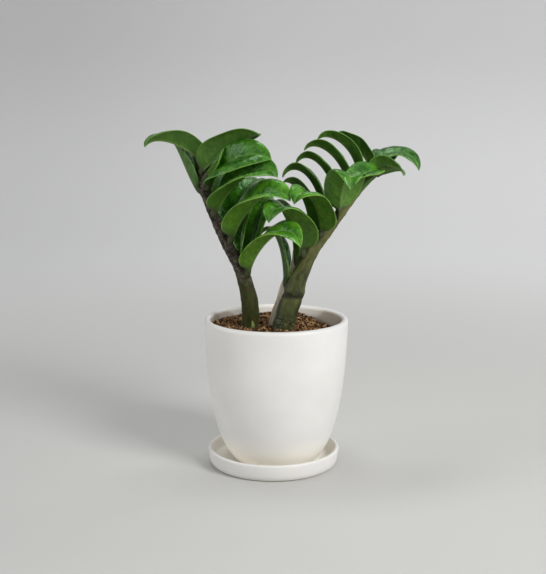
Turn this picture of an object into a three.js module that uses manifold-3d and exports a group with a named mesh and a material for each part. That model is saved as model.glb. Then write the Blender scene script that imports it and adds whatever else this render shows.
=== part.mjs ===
// A dwarf ZZ plant in a round white ceramic pot that stands in its saucer.
// Millimetres, +Z up. The origin is on the ground, under the pot's axis; -Y is the front.
import * as THREE from 'three';
import { mergeVertices } from 'three/addons/utils/BufferGeometryUtils.js';
import Module from 'manifold-3d';

const wasm = await Module();
wasm.setup();

// Pot and saucer
const POT_RADIUS = 60; // outside of the rim
const POT_TOP = 125.4; // top of the lip above the ground
const POT_WALL = 5.3;
const LIP_RISE = 3; // height of the lip's round
const POT_FOOT_RADIUS = 33.5;
const POT_FLOOR = 6; // thickness of the pot's floor
const DRAIN_RADIUS = 6;
const SAUCER_RADIUS = 55.3;
const SAUCER_HEIGHT = 14.6;
const SAUCER_FLOOR = 4;
const SAUCER_WALL = 3.4;
const SAUCER_SHIFT = -2; // the saucer sits a little to the left of the pot's axis
const ROUND_SEGMENTS = 40;

// Soil
const SOIL_TOP = 118.6; // level around the stems
const SOIL_DROP = 7; // the right-hand side lies this much lower
const SOIL_GAP = 0.45; // clear of the pot's wall
const SOIL_RIM_GAP = 0.85; // clear of the wall at the soil's edge
const SOIL_UNDER_GAP = 0.3; // clear of the pot's floor
const SOIL_RINGS = [1, 0.86, 0.7, 0.53, 0.36, 0.18, 0]; // of its top, as shares of its radius
const HOLE_GAP = 0.6; // clear of a stem's side
const HOLE_UNDER_GAP = 0.4; // clear of a stem's lower end
const HOLE_LENGTH = 60;
const FOOT_DEPTH = 96; // height of the stems' lower ends

// Fronds
const STEM_SIDES = 12;
const STEM_STEPS = 22;
const BLADE_THICKNESS = 0.9;
const MARGIN_THICKNESS = 0.7;
const STALK_HALF_WIDTH = 2.2;
const STALK_DEPTH = 3.2;
const STALK_DROP = 4; // a stalk leaves the stem's core this much below its blade
const TIP_HALF_WIDTH = 0.5;

// The stem's centre line with its radius, from the foot in the soil to the last leaflets.
const LEFT_STEM = [
  [-21.5, -8, 96, 7.3],
  [-21.5, -8, 120, 7.3],
  [-21, -8, 130, 7.3],
  [-22, -8, 142, 7.0],
  [-25, -7, 155, 6.2],
  [-28.5, -6, 166, 5.6],
  [-32.5, -5, 174, 5.2],
  [-36.5, -4, 181, 4.8],
  [-41.5, -3, 190, 4.4],
  [-48.5, 0, 205, 4.1],
  [-55.5, 3, 221, 3.8],
  [-58, 4, 231, 3.7],
  [-61, 5, 242, 3.3],
  [-62, 6, 251, 2.9],
  [-62, 8, 257, 2.2],
];
const RIGHT_STEM = [
  [6, -14, 96, 9.2],
  [6, -14, 120, 9.2],
  [8, -14, 127, 9.0],
  [10, -14, 136, 8.8],
  [14, -13, 146, 8.7],
  [16, -13, 155, 8.1],
  [20, -12, 166, 7.5],
  [27, -11, 180, 6.4],
  [33.5, -9, 189, 5.5],
  [43, -8, 201, 4.7],
  [52, -6, 213, 4.3],
  [63.5, -4, 228, 3.7],
  [72, -2, 237.5, 3.4],
  [80, -1, 244.5, 2.9],
  [89, -1, 249.5, 2.4],
  [97, -1, 251.5, 1.8],
];

// One leaflet each. The base is where the blade starts. The rise, the crest and the tip are the
// handles of its midrib, measured from the base. The fold lifts both halves off the flat, and
// the roll turns the blade about its midrib; both are in degrees, at the base and at the tip.
const leaflet = (base, rise, crest, tip, width, fold, roll) => ({
  base, rise, crest, tip, width, fold, roll,
});
const LEFT_LEAFLETS = [
  // the row that arches to the right and forward, from the lowest up
  leaflet([-24, -12, 166], [4, -8, 20], [34, -32, 56], [43, -38, 26], 31, [34, 18], [0, 35]),
  leaflet([-38, -8, 193], [6, -7, 19], [35, -26, 55], [49, -30, 34], 36, [50, 20], [0, 35]),
  leaflet([-52, -3, 214], [8, -9, 17], [39, -27, 51], [53, -29, 31], 34, [45, 20], [0, 45]),
  leaflet([-57, 0, 235], [7, -8, 16], [35, -28, 36], [53, -32, 24], 36, [35, 10], [20, 45]),
  leaflet([-55, -3, 243], [5, -3, 9], [12, -6, 17], [14, -6, 26], 22, [40, 30], [10, 10]),
  leaflet([-62, 3, 248], [8, -7, 9], [44, -19, 34], [49, -25, 30], 34, [48, 8], [0, 5]),
  // the row behind it
  leaflet([-29, -2, 171], [-1, 6, 19], [4, 16, 59], [16, 20, 52], 32, [30, 20], [0, 20]),
  leaflet([-27, 2, 167], [10, 8, 24], [15, 16, 68], [25, 20, 54], 34, [25, 20], [10, 20]),
  leaflet([-45, 3, 196], [12, 9, 21], [27, 21, 55], [38, 29, 33], 32, [30, 20], [0, 0]),
  leaflet([-54, 6, 218], [2, 12, 17], [12, 30, 41], [20, 40, 18], 30, [30, 20], [0, 0]),
  // the ones that head to the left at the top
  leaflet([-62, 5, 233], [-11, 5, 12], [-18, 12, 34], [-25, 15, 40], 25, [40, 30], [0, 0]),
  leaflet([-62, 6, 242], [-2, 3, 10], [-6, 7, 25], [-15, 9, 28], 22, [40, 30], [0, 0]),
  leaflet([-60, 8, 256], [-10, -3, 12], [-38, -14, 24], [-46, -20, 12], 30, [50, 25], [0, 0]),
];
const RIGHT_LEAFLETS = [
  // the row that arches forward, from the lowest up
  leaflet([23, -18, 184], [1, -6, 23], [-25, -28, 54], [-29, -30, 27], 38, [15, 20], [0, -12]),
  leaflet([38, -14, 198], [1, -4, 19], [-17, -24, 50], [-24, -28, 27], 37, [5, 20], [0, -12]),
  leaflet([50, -11, 214], [4, -3, 27], [9, -24, 47], [8, -31, 22], 33, [8, 15], [0, 0]),
  leaflet([86, -4, 248], [-8, -5, 0], [-22, -14, -3], [-33, -21, -8], 28, [25, 24], [-16, -20]),
  leaflet([75, 3, 247], [7, -1, 4], [26, -2, 9], [27, -27, -1], 20, [15, 18], [0, 22]),
  leaflet([77, 8, 251], [9, 3, 12], [36, 4, 18], [40, -6, -3], 25, [12, 10], [36, 45]),
  // the row of claws that arches to the left behind the stem
  leaflet([10, -9, 155], [-1, 6, 21], [-10, 13, 58], [-24, 13, 39], 20, [28, 28], [0, 0]),
  leaflet([19, -8, 173], [-3, 5, 21], [-8, 14, 56], [-21, 14, 47], 24, [28, 28], [0, 0]),
  leaflet([30, -6, 188], [3, 8, 22], [-11, 16, 54], [-24, 14, 50], 28, [28, 32], [0, 0]),
  leaflet([41, -4, 206], [-1, 8, 31], [-24, 15, 55], [-36, 13, 36], 23, [16, 36], [0, 0]),
  leaflet([53, -2, 220], [-3, 7, 23], [-25, 14, 50], [-37, 12, 33], 22, [16, 36], [0, 0]),
  leaflet([62, 0, 230], [-1, 7, 23], [-27, 14, 47], [-39, 11, 34], 23, [16, 36], [0, 0]),
  leaflet([70, 2, 238], [1, 7, 23], [-23, 14, 44], [-36, 10, 35], 23, [16, 36], [0, 0]),
  leaflet([80, 4, 248], [-2, 9, 10], [-23, 16, 29], [-31, 14, 28], 20, [26, 26], [0, 0]),
  leaflet([85, 3, 247], [4, 11, 8], [11, 31, 19], [14, 43, 4], 26, [35, 20], [0, 0]),
];

// The dry sheath that once wrapped the right frond's bud: a papery strip that stands against the
// stem's left side. Each row is its middle with its width.
const SHEATH = [
  [-1, -8, 121, 9],
  [0, -5, 128, 9],
  [4, -4, 142, 7],
  [8.5, -3, 157, 5],
  [13, -2, 170, 4],
  [17, 0, 183, 1.4],
];
const SHEATH_THICKNESS = 0.9;
const SHEATH_STEPS = 9;
const SHEATH_CURL = 0.7; // half the angle that it wraps, in radians

// The rows of a blade, as shares of its length: close together at its round base and its tip.
const SHORTEST_EDGE = 0.01; // shorter edges, where leaflets cross, are drawn together
const BLADE_ROWS = [0, 0.05, 0.11, 0.21, 0.34, 0.49, 0.64, 0.78, 0.9, 1];
const HALF_COLUMNS = 2;

function vector([x, y, z]) {
  return new THREE.Vector3(x, y, z);
}

function mix(from, to, share) {
  return from + (to - from) * share;
}

function smoothStep(from, to, value) {
  const share = Math.min(Math.max((value - from) / (to - from), 0), 1);
  return share * share * (3 - 2 * share);
}

// Half a blade's width at a share of its length, where the widest place counts as 1.
function bladeShape(share) {
  const widest = 0.5 / 1.3;
  const top = widest ** 0.5 * (1 - widest) ** 0.8;
  return (Math.max(share, 0) ** 0.5 * Math.max(1 - share, 0) ** 0.8) / top;
}

// A closed mesh from rings of points, the ends capped by fans.
function ringSolid(rings) {
  const count = rings[0].length;
  const positions = rings.flat().flatMap((point) => point.toArray());
  const triangles = [];
  for (let row = 0; row < rings.length - 1; row += 1) {
    for (let k = 0; k < count; k += 1) {
      const a = row * count + k;
      const b = row * count + ((k + 1) % count);
      triangles.push(a, b, b + count, a, b + count, a + count);
    }
  }
  const last = (rings.length - 1) * count;
  for (let k = 1; k < count - 1; k += 1) {
    triangles.push(0, k + 1, k, last, last + k, last + k + 1);
  }
  const geometry = new THREE.BufferGeometry();
  geometry.setAttribute('position', new THREE.Float32BufferAttribute(positions, 3));
  geometry.setIndex(triangles);
  return geometry;
}

function toManifold(geometry) {
  const bare = geometry.clone();
  bare.deleteAttribute('normal');
  bare.deleteAttribute('uv');
  const merged = mergeVertices(bare, 1e-4);
  return new wasm.Manifold(
    new wasm.Mesh({
      numProp: 3,
      vertProperties: new Float32Array(merged.attributes.position.array),
      triVerts: new Uint32Array(merged.index.array),
    }),
  );
}

function toGeometry(manifold) {
  const mesh = manifold.getMesh();
  const geometry = new THREE.BufferGeometry();
  geometry.setAttribute('position', new THREE.Float32BufferAttribute(mesh.vertProperties, 3));
  geometry.setIndex(Array.from(mesh.triVerts));
  geometry.computeVertexNormals();
  return geometry;
}

// A turned body: the outline is given as [radius, height] pairs.
function turned(outline) {
  const points = outline.map(([radius, height]) => new THREE.Vector2(radius, height));
  return new THREE.LatheGeometry(points, ROUND_SEGMENTS).rotateX(Math.PI / 2);
}

// Points on a curve of [radius, height] handles.
function curvePoints(handles, count) {
  const [a, b, c, d] = handles.map(([x, y]) => new THREE.Vector2(x, y));
  return new THREE.CubicBezierCurve(a, b, c, d).getPoints(count).map((p) => [p.x, p.y]);
}

// A round lip from the outer side over the top to the inner side.
function lipPoints(centreRadius, centreHeight, halfWidth, rise, count) {
  const points = [];
  for (let k = 1; k < count; k += 1) {
    const angle = (Math.PI * k) / count;
    points.push([
      centreRadius + halfWidth * Math.cos(angle),
      centreHeight + rise * Math.sin(angle),
    ]);
  }
  return points;
}

// Pot: a bellied shell with a round lip, a flat foot and a drain hole in its floor.
const potInside = POT_RADIUS - POT_WALL;
const potFloorTop = SAUCER_FLOOR + POT_FLOOR;
const lipBase = POT_TOP - LIP_RISE;
const potOuter = curvePoints(
  [[POT_FOOT_RADIUS, SAUCER_FLOOR], [48, 17], [58.5, 52], [POT_RADIUS, lipBase]],
  12,
);
const potInner = curvePoints(
  [[potInside, lipBase], [53.2, 54], [42.5, 23], [28, potFloorTop]],
  9,
);
const potOutline = [
  [DRAIN_RADIUS, SAUCER_FLOOR],
  ...potOuter,
  ...lipPoints(POT_RADIUS - POT_WALL / 2, lipBase, POT_WALL / 2, LIP_RISE, 5),
  ...potInner,
  [DRAIN_RADIUS, potFloorTop],
  [DRAIN_RADIUS, SAUCER_FLOOR],
];

// Saucer: a flat dish with a round lower edge and an upright rim.
const saucerInside = SAUCER_RADIUS - SAUCER_WALL;
const saucerOutline = [
  [0, 0],
  ...curvePoints([[48.5, 0], [51.8, 0], [53.4, 1.6], [54.2, 5]], 4),
  [SAUCER_RADIUS, SAUCER_HEIGHT - 1.6],
  ...lipPoints(
    SAUCER_RADIUS - SAUCER_WALL / 2, SAUCER_HEIGHT - 1.6, SAUCER_WALL / 2, 1.6, 4,
  ),
  [saucerInside, SAUCER_HEIGHT - 1.6],
  ...curvePoints([[50.8, 7], [50.4, 5], [49.4, SAUCER_FLOOR], [47, SAUCER_FLOOR]], 3),
  [0, SAUCER_FLOOR],
];

// Soil: it fills the pot up to a loose, uneven top that falls away on the right.
function soilHeight(x, y) {
  const slope = SOIL_DROP * smoothStep(16, 48, x);
  const lumps = 0.7 * Math.sin(0.31 * x + 1.3) * Math.cos(0.27 * y)
    + 0.5 * Math.sin(0.53 * x - 0.41 * y);
  return SOIL_TOP - slope + lumps;
}

function soilBody() {
  const side = potInner.map(([radius, height]) => [radius - SOIL_GAP, height]);
  const wall = side.filter(([, height]) => height < SOIL_TOP - SOIL_DROP - 2).reverse();
  const underside = potFloorTop + SOIL_UNDER_GAP;
  wall[0][1] = underside;
  const rim = potInside - SOIL_RIM_GAP;
  const surface = SOIL_RINGS.map((share) => [rim * share, SOIL_TOP]);
  const geometry = turned([[0, underside], ...wall, ...surface]);
  const position = geometry.attributes.position;
  for (let k = 0; k < position.count; k += 1) {
    if (position.getZ(k) > SOIL_TOP - 0.01) {
      position.setZ(k, soilHeight(position.getX(k), position.getY(k)));
    }
  }
  return toManifold(geometry);
}

function stemHole([x, y, , radius]) {
  const wide = radius + HOLE_GAP;
  const hole = new THREE.CylinderGeometry(wide, wide, HOLE_LENGTH, 2 * STEM_SIDES);
  hole.rotateX(Math.PI / 2);
  hole.translate(x, y, FOOT_DEPTH - HOLE_UNDER_GAP + HOLE_LENGTH / 2);
  return toManifold(hole);
}

// Stem: a round bar along its centre line that ends in a blunt point.
function stemCurve(rows) {
  return new THREE.CatmullRomCurve3(rows.map(vector), false, 'catmullrom', 0.5);
}

function stemPlace(rows, curve, share) {
  const span = share * (rows.length - 1);
  const k = Math.min(Math.floor(span), rows.length - 2);
  return { centre: curve.getPoint(share), radius: mix(rows[k][3], rows[k + 1][3], span - k) };
}

function stemBody(rows) {
  const curve = stemCurve(rows);
  const rings = [];
  const addRing = (share, radius, ahead) => {
    const along = curve.getTangent(share);
    const centre = curve.getPoint(share).addScaledVector(along, ahead);
    const side = new THREE.Vector3().crossVectors(along, new THREE.Vector3(0, 1, 0)).normalize();
    const front = new THREE.Vector3().crossVectors(along, side);
    rings.push(Array.from({ length: STEM_SIDES }, (_, k) => {
      const angle = (2 * Math.PI * k) / STEM_SIDES;
      return centre.clone()
        .addScaledVector(side, radius * Math.cos(angle))
        .addScaledVector(front, radius * Math.sin(angle));
    }));
  };
  for (let k = 0; k <= STEM_STEPS; k += 1) {
    addRing(k / STEM_STEPS, stemPlace(rows, curve, k / STEM_STEPS).radius, 0);
  }
  const tip = rows[rows.length - 1][3];
  addRing(1, tip * 0.8, tip * 0.6);
  addRing(1, tip * 0.3, tip * 1.1);
  return toManifold(ringSolid(rings));
}

// The place on the stem's centre line that a leaflet's stalk grows from.
function socket(rows, curve, height) {
  let low = 0;
  let high = 1;
  for (let k = 0; k < 20; k += 1) {
    const middle = (low + high) / 2;
    if (curve.getPoint(middle).z < height) low = middle;
    else high = middle;
  }
  return curve.getPoint(low);
}

// Leaflet: a folded, recurved blade on a short stalk whose keel runs out along the midrib.
function leafletBody(leaf, rows) {
  const base = vector(leaf.base);
  const [rise, crest, tip] = [leaf.rise, leaf.crest, leaf.tip].map((h) => vector(h).add(base));
  const midrib = new THREE.CubicBezierCurve3(base, rise, crest, tip);
  const across = new THREE.Vector3()
    .crossVectors(crest.clone().sub(base), tip.clone().sub(crest))
    .normalize();

  const section = (share, centre, along) => {
    const side = across.clone().addScaledVector(along, -across.dot(along)).normalize();
    const up = new THREE.Vector3().crossVectors(along, side);
    side.applyAxisAngle(along, THREE.MathUtils.degToRad(mix(...leaf.roll, share)));
    up.applyAxisAngle(along, THREE.MathUtils.degToRad(mix(...leaf.roll, share)));
    const fold = THREE.MathUtils.degToRad(mix(...leaf.fold, share));
    const blade = (leaf.width / 2) * bladeShape((share - 0.04) / 0.96);
    const half = Math.max(blade, STALK_HALF_WIDTH * (1 - share) ** 2, TIP_HALF_WIDTH);
    const keel = STALK_DEPTH * (1 - share) ** 3;
    const upper = [];
    const lower = [];
    for (let k = -HALF_COLUMNS; k <= HALF_COLUMNS; k += 1) {
      const out = k / HALF_COLUMNS;
      const thick = mix(BLADE_THICKNESS, MARGIN_THICKNESS, Math.abs(out))
        + keel * (k === 0 ? 1 : 0.25 * (1 - Math.abs(out)));
      const away = Math.sign(out) * Math.sin(fold);
      const point = centre.clone()
        .addScaledVector(side, half * out * Math.cos(fold))
        .addScaledVector(up, half * Math.abs(out) * Math.sin(fold));
      upper.push(point);
      lower.push(point.clone()
        .addScaledVector(up, -thick * Math.cos(fold * Math.abs(out)))
        .addScaledVector(side, thick * away * Math.abs(out)));
    }
    return [...lower, ...upper.reverse()];
  };

  const rings = BLADE_ROWS.map((share) => (
    section(share, midrib.getPoint(share), midrib.getTangent(share))
  ));
  const stalkStart = socket(rows, stemCurve(rows), leaf.base[2] - STALK_DROP);
  const stalk = base.clone().sub(stalkStart).normalize();
  rings.unshift(section(0, stalkStart, stalk.add(midrib.getTangent(0)).normalize()));
  return toManifold(ringSolid(rings));
}

// Sheath: a thin strip that is hollow towards the stem, with its foot sunk in the stem's base.
function sheathBody() {
  const centres = new THREE.CatmullRomCurve3(SHEATH.map(vector), false, 'catmullrom', 0.5);
  const stem = stemCurve(RIGHT_STEM);
  const rings = [];
  for (let row = 0; row <= SHEATH_STEPS; row += 1) {
    const { centre, radius: width } = stemPlace(SHEATH, centres, row / SHEATH_STEPS);
    const along = centres.getTangent(row / SHEATH_STEPS);
    const away = centre.clone().sub(socket(RIGHT_STEM, stem, centre.z));
    away.addScaledVector(along, -away.dot(along)).normalize();
    const side = new THREE.Vector3().crossVectors(along, away);
    const outer = [];
    const inner = [];
    for (let k = -2; k <= 2; k += 1) {
      const angle = (k / 2) * SHEATH_CURL;
      const point = centre.clone()
        .addScaledVector(side, (width / 2) * (Math.sin(angle) / Math.sin(SHEATH_CURL)))
        .addScaledVector(away, (width / 2) * (Math.cos(angle) - 1));
      outer.push(point);
      inner.push(point.clone().addScaledVector(away, -SHEATH_THICKNESS));
    }
    rings.push([...outer, ...inner.reverse()]);
  }
  return toManifold(ringSolid(rings));
}

function frondBody(rows, leaflets) {
  return leaflets.reduce(
    (frond, leaf) => frond.add(leafletBody(leaf, rows)),
    stemBody(rows),
  );
}

function material(color, roughness) {
  return new THREE.MeshStandardMaterial({ color, roughness, metalness: 0 });
}

const ceramic = material('#e6e5e0', 0.62);
const group = new THREE.Group();

const saucer = new THREE.Mesh(turned(saucerOutline), ceramic);
saucer.name = 'saucer';
saucer.position.x = SAUCER_SHIFT;
group.add(saucer);

const pot = new THREE.Mesh(turned(potOutline), ceramic.clone());
pot.name = 'pot';
group.add(pot);

const soilManifold = soilBody()
  .subtract(stemHole(LEFT_STEM[0]))
  .subtract(stemHole(RIGHT_STEM[0]));
const soil = new THREE.Mesh(toGeometry(soilManifold), material('#4a3425', 0.95));
soil.name = 'soil';
group.add(soil);

const frondLeft = new THREE.Mesh(
  toGeometry(frondBody(LEFT_STEM, LEFT_LEAFLETS)),
  material('#3f6a2c', 0.4),
);
frondLeft.name = 'frond_left';
group.add(frondLeft);

const frondRight = new THREE.Mesh(
  toGeometry(frondBody(RIGHT_STEM, RIGHT_LEAFLETS).add(sheathBody()).simplify(SHORTEST_EDGE)),
  material('#3f6a2c', 0.4),
);
frondRight.name = 'frond_right';
group.add(frondRight);

export default group;
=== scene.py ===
"""A dwarf ZZ plant: two thick fronds with curled glossy leaflets in a white ceramic pot and saucer.

Sizes are in millimetres and become metres where a mesh is made. The places and depths inside a
material, the studio's lights and its camera are in metres. +Z is up and -Y is the front.
"""

import math

import bpy
import numpy as np
from mathutils import Matrix, Vector, noise


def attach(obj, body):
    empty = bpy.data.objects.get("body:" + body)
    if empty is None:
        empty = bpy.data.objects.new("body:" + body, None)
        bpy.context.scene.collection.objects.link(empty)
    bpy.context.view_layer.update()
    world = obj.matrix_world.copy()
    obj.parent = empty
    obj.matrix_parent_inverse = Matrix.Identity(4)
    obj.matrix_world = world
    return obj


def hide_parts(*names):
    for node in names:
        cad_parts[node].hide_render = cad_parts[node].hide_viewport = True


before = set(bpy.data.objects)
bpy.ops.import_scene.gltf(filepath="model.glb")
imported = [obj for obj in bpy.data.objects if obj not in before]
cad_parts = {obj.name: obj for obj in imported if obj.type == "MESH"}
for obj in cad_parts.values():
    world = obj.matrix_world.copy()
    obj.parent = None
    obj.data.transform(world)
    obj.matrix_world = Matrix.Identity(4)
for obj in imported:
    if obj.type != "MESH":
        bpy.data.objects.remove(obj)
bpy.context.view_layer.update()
MM = 0.001


# ---- Saucer ----
# A flat dish of pressed white stoneware with a matt glaze. It stands on a dry foot and catches
# the water that drains from the pot, which rests loose on its floor, a little off its middle.

SAUCER_RADIUS = 55.3
SAUCER_HEIGHT = 14.6
SAUCER_FLOOR = 4.0
SAUCER_WALL = 3.4
SAUCER_RIM_RISE = 1.6
SAUCER_SHIFT = -2.0  # its middle, from the pot's axis
SAUCER_RING_INSIDE = 42.0
SAUCER_RING_RECESS = 0.5
SAUCER_DRY_FOOT = 0.3
ROUND_SEGMENTS = 160
GLAZE_DARK = (0.775, 0.762, 0.735, 1)
GLAZE_LIGHT = (0.83, 0.82, 0.797, 1)
# painted bounced light: a creamier, lighter glaze inside the saucer and the pot and at the pot's foot
GLAZE_PAINTED_BOUNCE = (0.965, 0.935, 0.86, 1)
DRY_CLAY = (0.62, 0.585, 0.52, 1)
GLAZE_TOOTH = 0.00002  # the depth of its fine tooth, and of its slow swells
GLAZE_SWELL = 0.00025


class Finish:
    """A procedural material: its shader and the nodes that feed it."""

    def __init__(self, name):
        self.material = bpy.data.materials.new(name)
        self.material.use_nodes = True
        self.tree = self.material.node_tree
        self.shader = self.tree.nodes["Principled BSDF"]

    def node(self, kind, inputs=(), **settings):
        made = self.tree.nodes.new("ShaderNode" + kind)
        for key, value in settings.items():
            setattr(made, key, value)
        for key, value in dict(inputs).items():
            self.feed(made.inputs[key], value)
        return made

    def feed(self, socket, value):
        if isinstance(value, bpy.types.NodeSocket):
            self.tree.links.new(value, socket)
        else:
            socket.default_value = value

    def place(self):
        return self.node("TexCoord").outputs["Object"]

    def stored(self, name):
        return self.node("Attribute", attribute_name=name).outputs["Vector"]

    def stored_value(self, name):
        return self.node("Attribute", attribute_name=name).outputs["Fac"]

    def parts_of(self, vector):
        return self.node("SeparateXYZ", {0: vector}).outputs

    def sum(self, kind, a, b=0.0, c=0.0):
        """One sum worked out at each point, such as MULTIPLY or MAXIMUM."""
        return self.node("Math", {0: a, 1: b, 2: c}, operation=kind).outputs[0]

    def from_axis(self, x, y):
        """The distance from an upright axis."""
        return self.sum("SQRT", self.sum("MULTIPLY_ADD", x, x, self.sum("MULTIPLY", y, y)))

    def step(self, value, start, end, low=0.0, high=1.0):
        """A smooth rise from low at start to high at end."""
        inputs = {0: value, 1: start, 2: end, 3: low, 4: high}
        return self.node("MapRange", inputs, interpolation_type="SMOOTHSTEP").outputs[0]

    def clouds(self, place, scale, detail=3.0, rough=0.55):
        inputs = {"Vector": place, "Scale": scale, "Detail": detail, "Roughness": rough}
        return self.node("TexNoise", inputs).outputs[0]

    def stretch(self, place, scale):
        return self.node("Mapping", {0: place, 3: scale}).outputs[0]

    def blend(self, share, a, b):
        """Colour a with that share of colour b."""
        return self.node("Mix", {0: share, 6: a, 7: b}, data_type="RGBA").outputs[2]

    def ramp(self, value, stops):
        """Colours that change with the value, from (value, colour) stops."""
        stops = list(stops)
        made = self.node("ValToRGB", {0: value})
        points = made.color_ramp.elements
        while len(points) < len(stops):
            points.new(1.0)
        for point, (position, colour) in zip(points, stops):
            point.position = position
            point.color = colour
        return made.outputs[0]

    def relief(self, height, depth, under=None):
        """Bumps of that depth in metres, on top of another relief if one is given."""
        inputs = {"Height": height, "Distance": depth, "Strength": 1.0}
        if under is not None:
            inputs["Normal"] = under
        return self.node("Bump", inputs).outputs[0]

    def coat(self, colour, roughness=None, normal=None, **fixed):
        """Feeds the shader, sets its fixed values and gives the finished material."""
        for key, value in (("Base Color", colour), ("Roughness", roughness), ("Normal", normal)):
            if value is not None:
                self.feed(self.shader.inputs[key], value)
        for key, value in fixed.items():
            socket = key.replace("_", " ").title().replace("Ior", "IOR")
            self.shader.inputs[socket].default_value = value
        return self.material


def matt_glaze(name, foot_height):
    """White matt glaze with faint clouds and a soft tooth. Below foot_height the clay is bare."""
    glaze = Finish(name)
    place = glaze.place()
    clouds = glaze.clouds(place, 22.0)
    colour = glaze.ramp(clouds, [(0.3, GLAZE_DARK), (0.7, GLAZE_LIGHT)])
    specks = glaze.clouds(place, 900.0, 1.0)
    colour = glaze.blend(glaze.step(specks, 0.7, 0.78, 0.0, 0.35), colour, DRY_CLAY)
    bare = glaze.step(glaze.parts_of(place)[2], foot_height * MM, (foot_height + 0.5) * MM, 1.0, 0.0)
    colour = glaze.blend(bare, colour, DRY_CLAY)
    rough = glaze.step(glaze.clouds(place, 60.0), 0.3, 0.7, 0.4, 0.5)
    tooth = glaze.relief(glaze.clouds(place, 1600.0, 2.0), GLAZE_TOOTH)
    swell = glaze.relief(glaze.clouds(place, 45.0, 1.0), GLAZE_SWELL, tooth)
    glaze.coat(colour, rough, swell)
    return glaze, colour


def on_curve(handles, t):
    """Points on the curve of four handles, at the shares t of the way along it."""
    a, b, c, d = (np.array(h, float) for h in handles)
    return a * (1 - t) ** 3 + 3 * b * t * (1 - t) ** 2 + 3 * c * t * t * (1 - t) + d * t ** 3


def curve_points(handles, count):
    """Evenly shared (radius, height) points on a curve, both ends included."""
    return [tuple(p) for p in on_curve(handles, np.linspace(0, 1, count + 1)[:, None])]


def lip_points(centre_radius, centre_height, half_width, rise, count=12):
    """A round lip, from the outer side over the top to the inner side."""
    angles = [math.pi * k / count for k in range(1, count)]
    return [(centre_radius + half_width * math.cos(a), centre_height + rise * math.sin(a))
            for a in angles]


def mesh_piece(name, points, faces, material, crisp_above=40):
    """A new object from points in millimetres. Edges over that many degrees stay crisp."""
    mesh = bpy.data.meshes.new(name)
    mesh.from_pydata([tuple(p) for p in np.asarray(points, float) * MM], [], faces)
    mesh.shade_smooth()
    mesh.set_sharp_from_angle(angle=math.radians(crisp_above))
    mesh.materials.append(material)
    piece = bpy.data.objects.new(name, mesh)
    bpy.context.scene.collection.objects.link(piece)
    return piece


def turned(outline, centre_x=0.0, segments=ROUND_SEGMENTS):
    """The points and faces of a body turned round an upright axis. Its outline starts and ends
    on the axis, or closes on itself."""
    points, rings, faces = [], [], []
    closed = outline[0] == outline[-1]
    for radius, height in outline[:-1] if closed else outline:
        count = 1 if radius == 0 else segments
        rings.append(list(range(len(points), len(points) + count)))
        for k in range(count):
            angle = 2 * math.pi * k / segments
            points.append((centre_x + radius * math.cos(angle), radius * math.sin(angle), height))
    pairs = list(zip(rings, rings[1:] + rings[:1]))
    for low, high in pairs if closed else pairs[:-1]:
        for k in range(segments):
            n = (k + 1) % segments
            around = [low[k % len(low)], low[n % len(low)], high[n % len(high)], high[k % len(high)]]
            faces.append(list(dict.fromkeys(around)))
    return points, faces


saucer_inside = SAUCER_RADIUS - SAUCER_WALL
saucer_rim = SAUCER_HEIGHT - SAUCER_RIM_RISE
saucer_outline = [
    (0, SAUCER_RING_RECESS), (SAUCER_RING_INSIDE, SAUCER_RING_RECESS), (SAUCER_RING_INSIDE + 1, 0),
    *curve_points([(48.5, 0), (51.8, 0), (53.4, 1.6), (54.2, 5)], 12),
    (SAUCER_RADIUS, saucer_rim),
    *lip_points(SAUCER_RADIUS - SAUCER_WALL / 2, saucer_rim, SAUCER_WALL / 2, SAUCER_RIM_RISE),
    (saucer_inside, saucer_rim),
    *curve_points([(50.8, 7), (50.4, 5), (49.4, SAUCER_FLOOR), (47, SAUCER_FLOOR)], 10),
    (0, SAUCER_FLOOR),
]


def saucer_glaze():
    """The matt glaze, painted creamier and lighter inside the dish as bounced light."""
    glaze, clean = matt_glaze("saucer_glaze", SAUCER_DRY_FOOT)
    x, y, z = glaze.parts_of(glaze.place())
    from_middle = glaze.from_axis(glaze.sum("ADD", x, -SAUCER_SHIFT * MM), y)
    # painted bounced light inside the dish
    painted_bounce = glaze.step(from_middle, saucer_inside * MM, (saucer_inside + 0.8) * MM, 1.0, 0.0)
    return glaze.coat(glaze.blend(painted_bounce, clean, GLAZE_PAINTED_BOUNCE))


saucer = mesh_piece("saucer_dish", *turned(saucer_outline, SAUCER_SHIFT), saucer_glaze())
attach(saucer, "root")
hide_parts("saucer")


# ---- Pot ----
# A jiggered stoneware pot, bellied towards its foot, with a rounded lip and a drain hole. It has
# the same matt white glaze, painted creamier and lighter at its foot and inside as bounced light,
# and a tide mark of damp soil on its inner wall that is partly painted shade and stands higher at
# the two sides. It stands loose in the saucer.

POT_RADIUS = 60.0
POT_TOP = 125.4
POT_WALL = 5.3
POT_LIP_RISE = 3.0
POT_FOOT_RADIUS = 33.5
POT_FLOOR = 6.0
DRAIN_RADIUS = 6.0
POT_DRY_FOOT = 0.05
BOUNCE_LIGHT_HEIGHTS = (0.014, 0.036)  # the foot's painted bounced light ends between these
BRIM_HEIGHTS = (0.088, 0.092)  # only above these does the radius tell the inner wall from the outer
STAIN_AND_SHADE_HEIGHTS = (0.106, 0.1145)  # the stain and its painted shade fade out between these
STAIN_AND_SHADE_STRENGTH = 0.66
STAIN_AND_SHADE_RAGGED = 0.008
SIDE_SHADE_CLIMB = 0.012  # how much higher the painted shade stands at the two sides
SHADED_SIDES = (0.03, 0.046)
STAIN_AND_SHADE_COLOUR = (0.38, 0.29, 0.21, 1)

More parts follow.
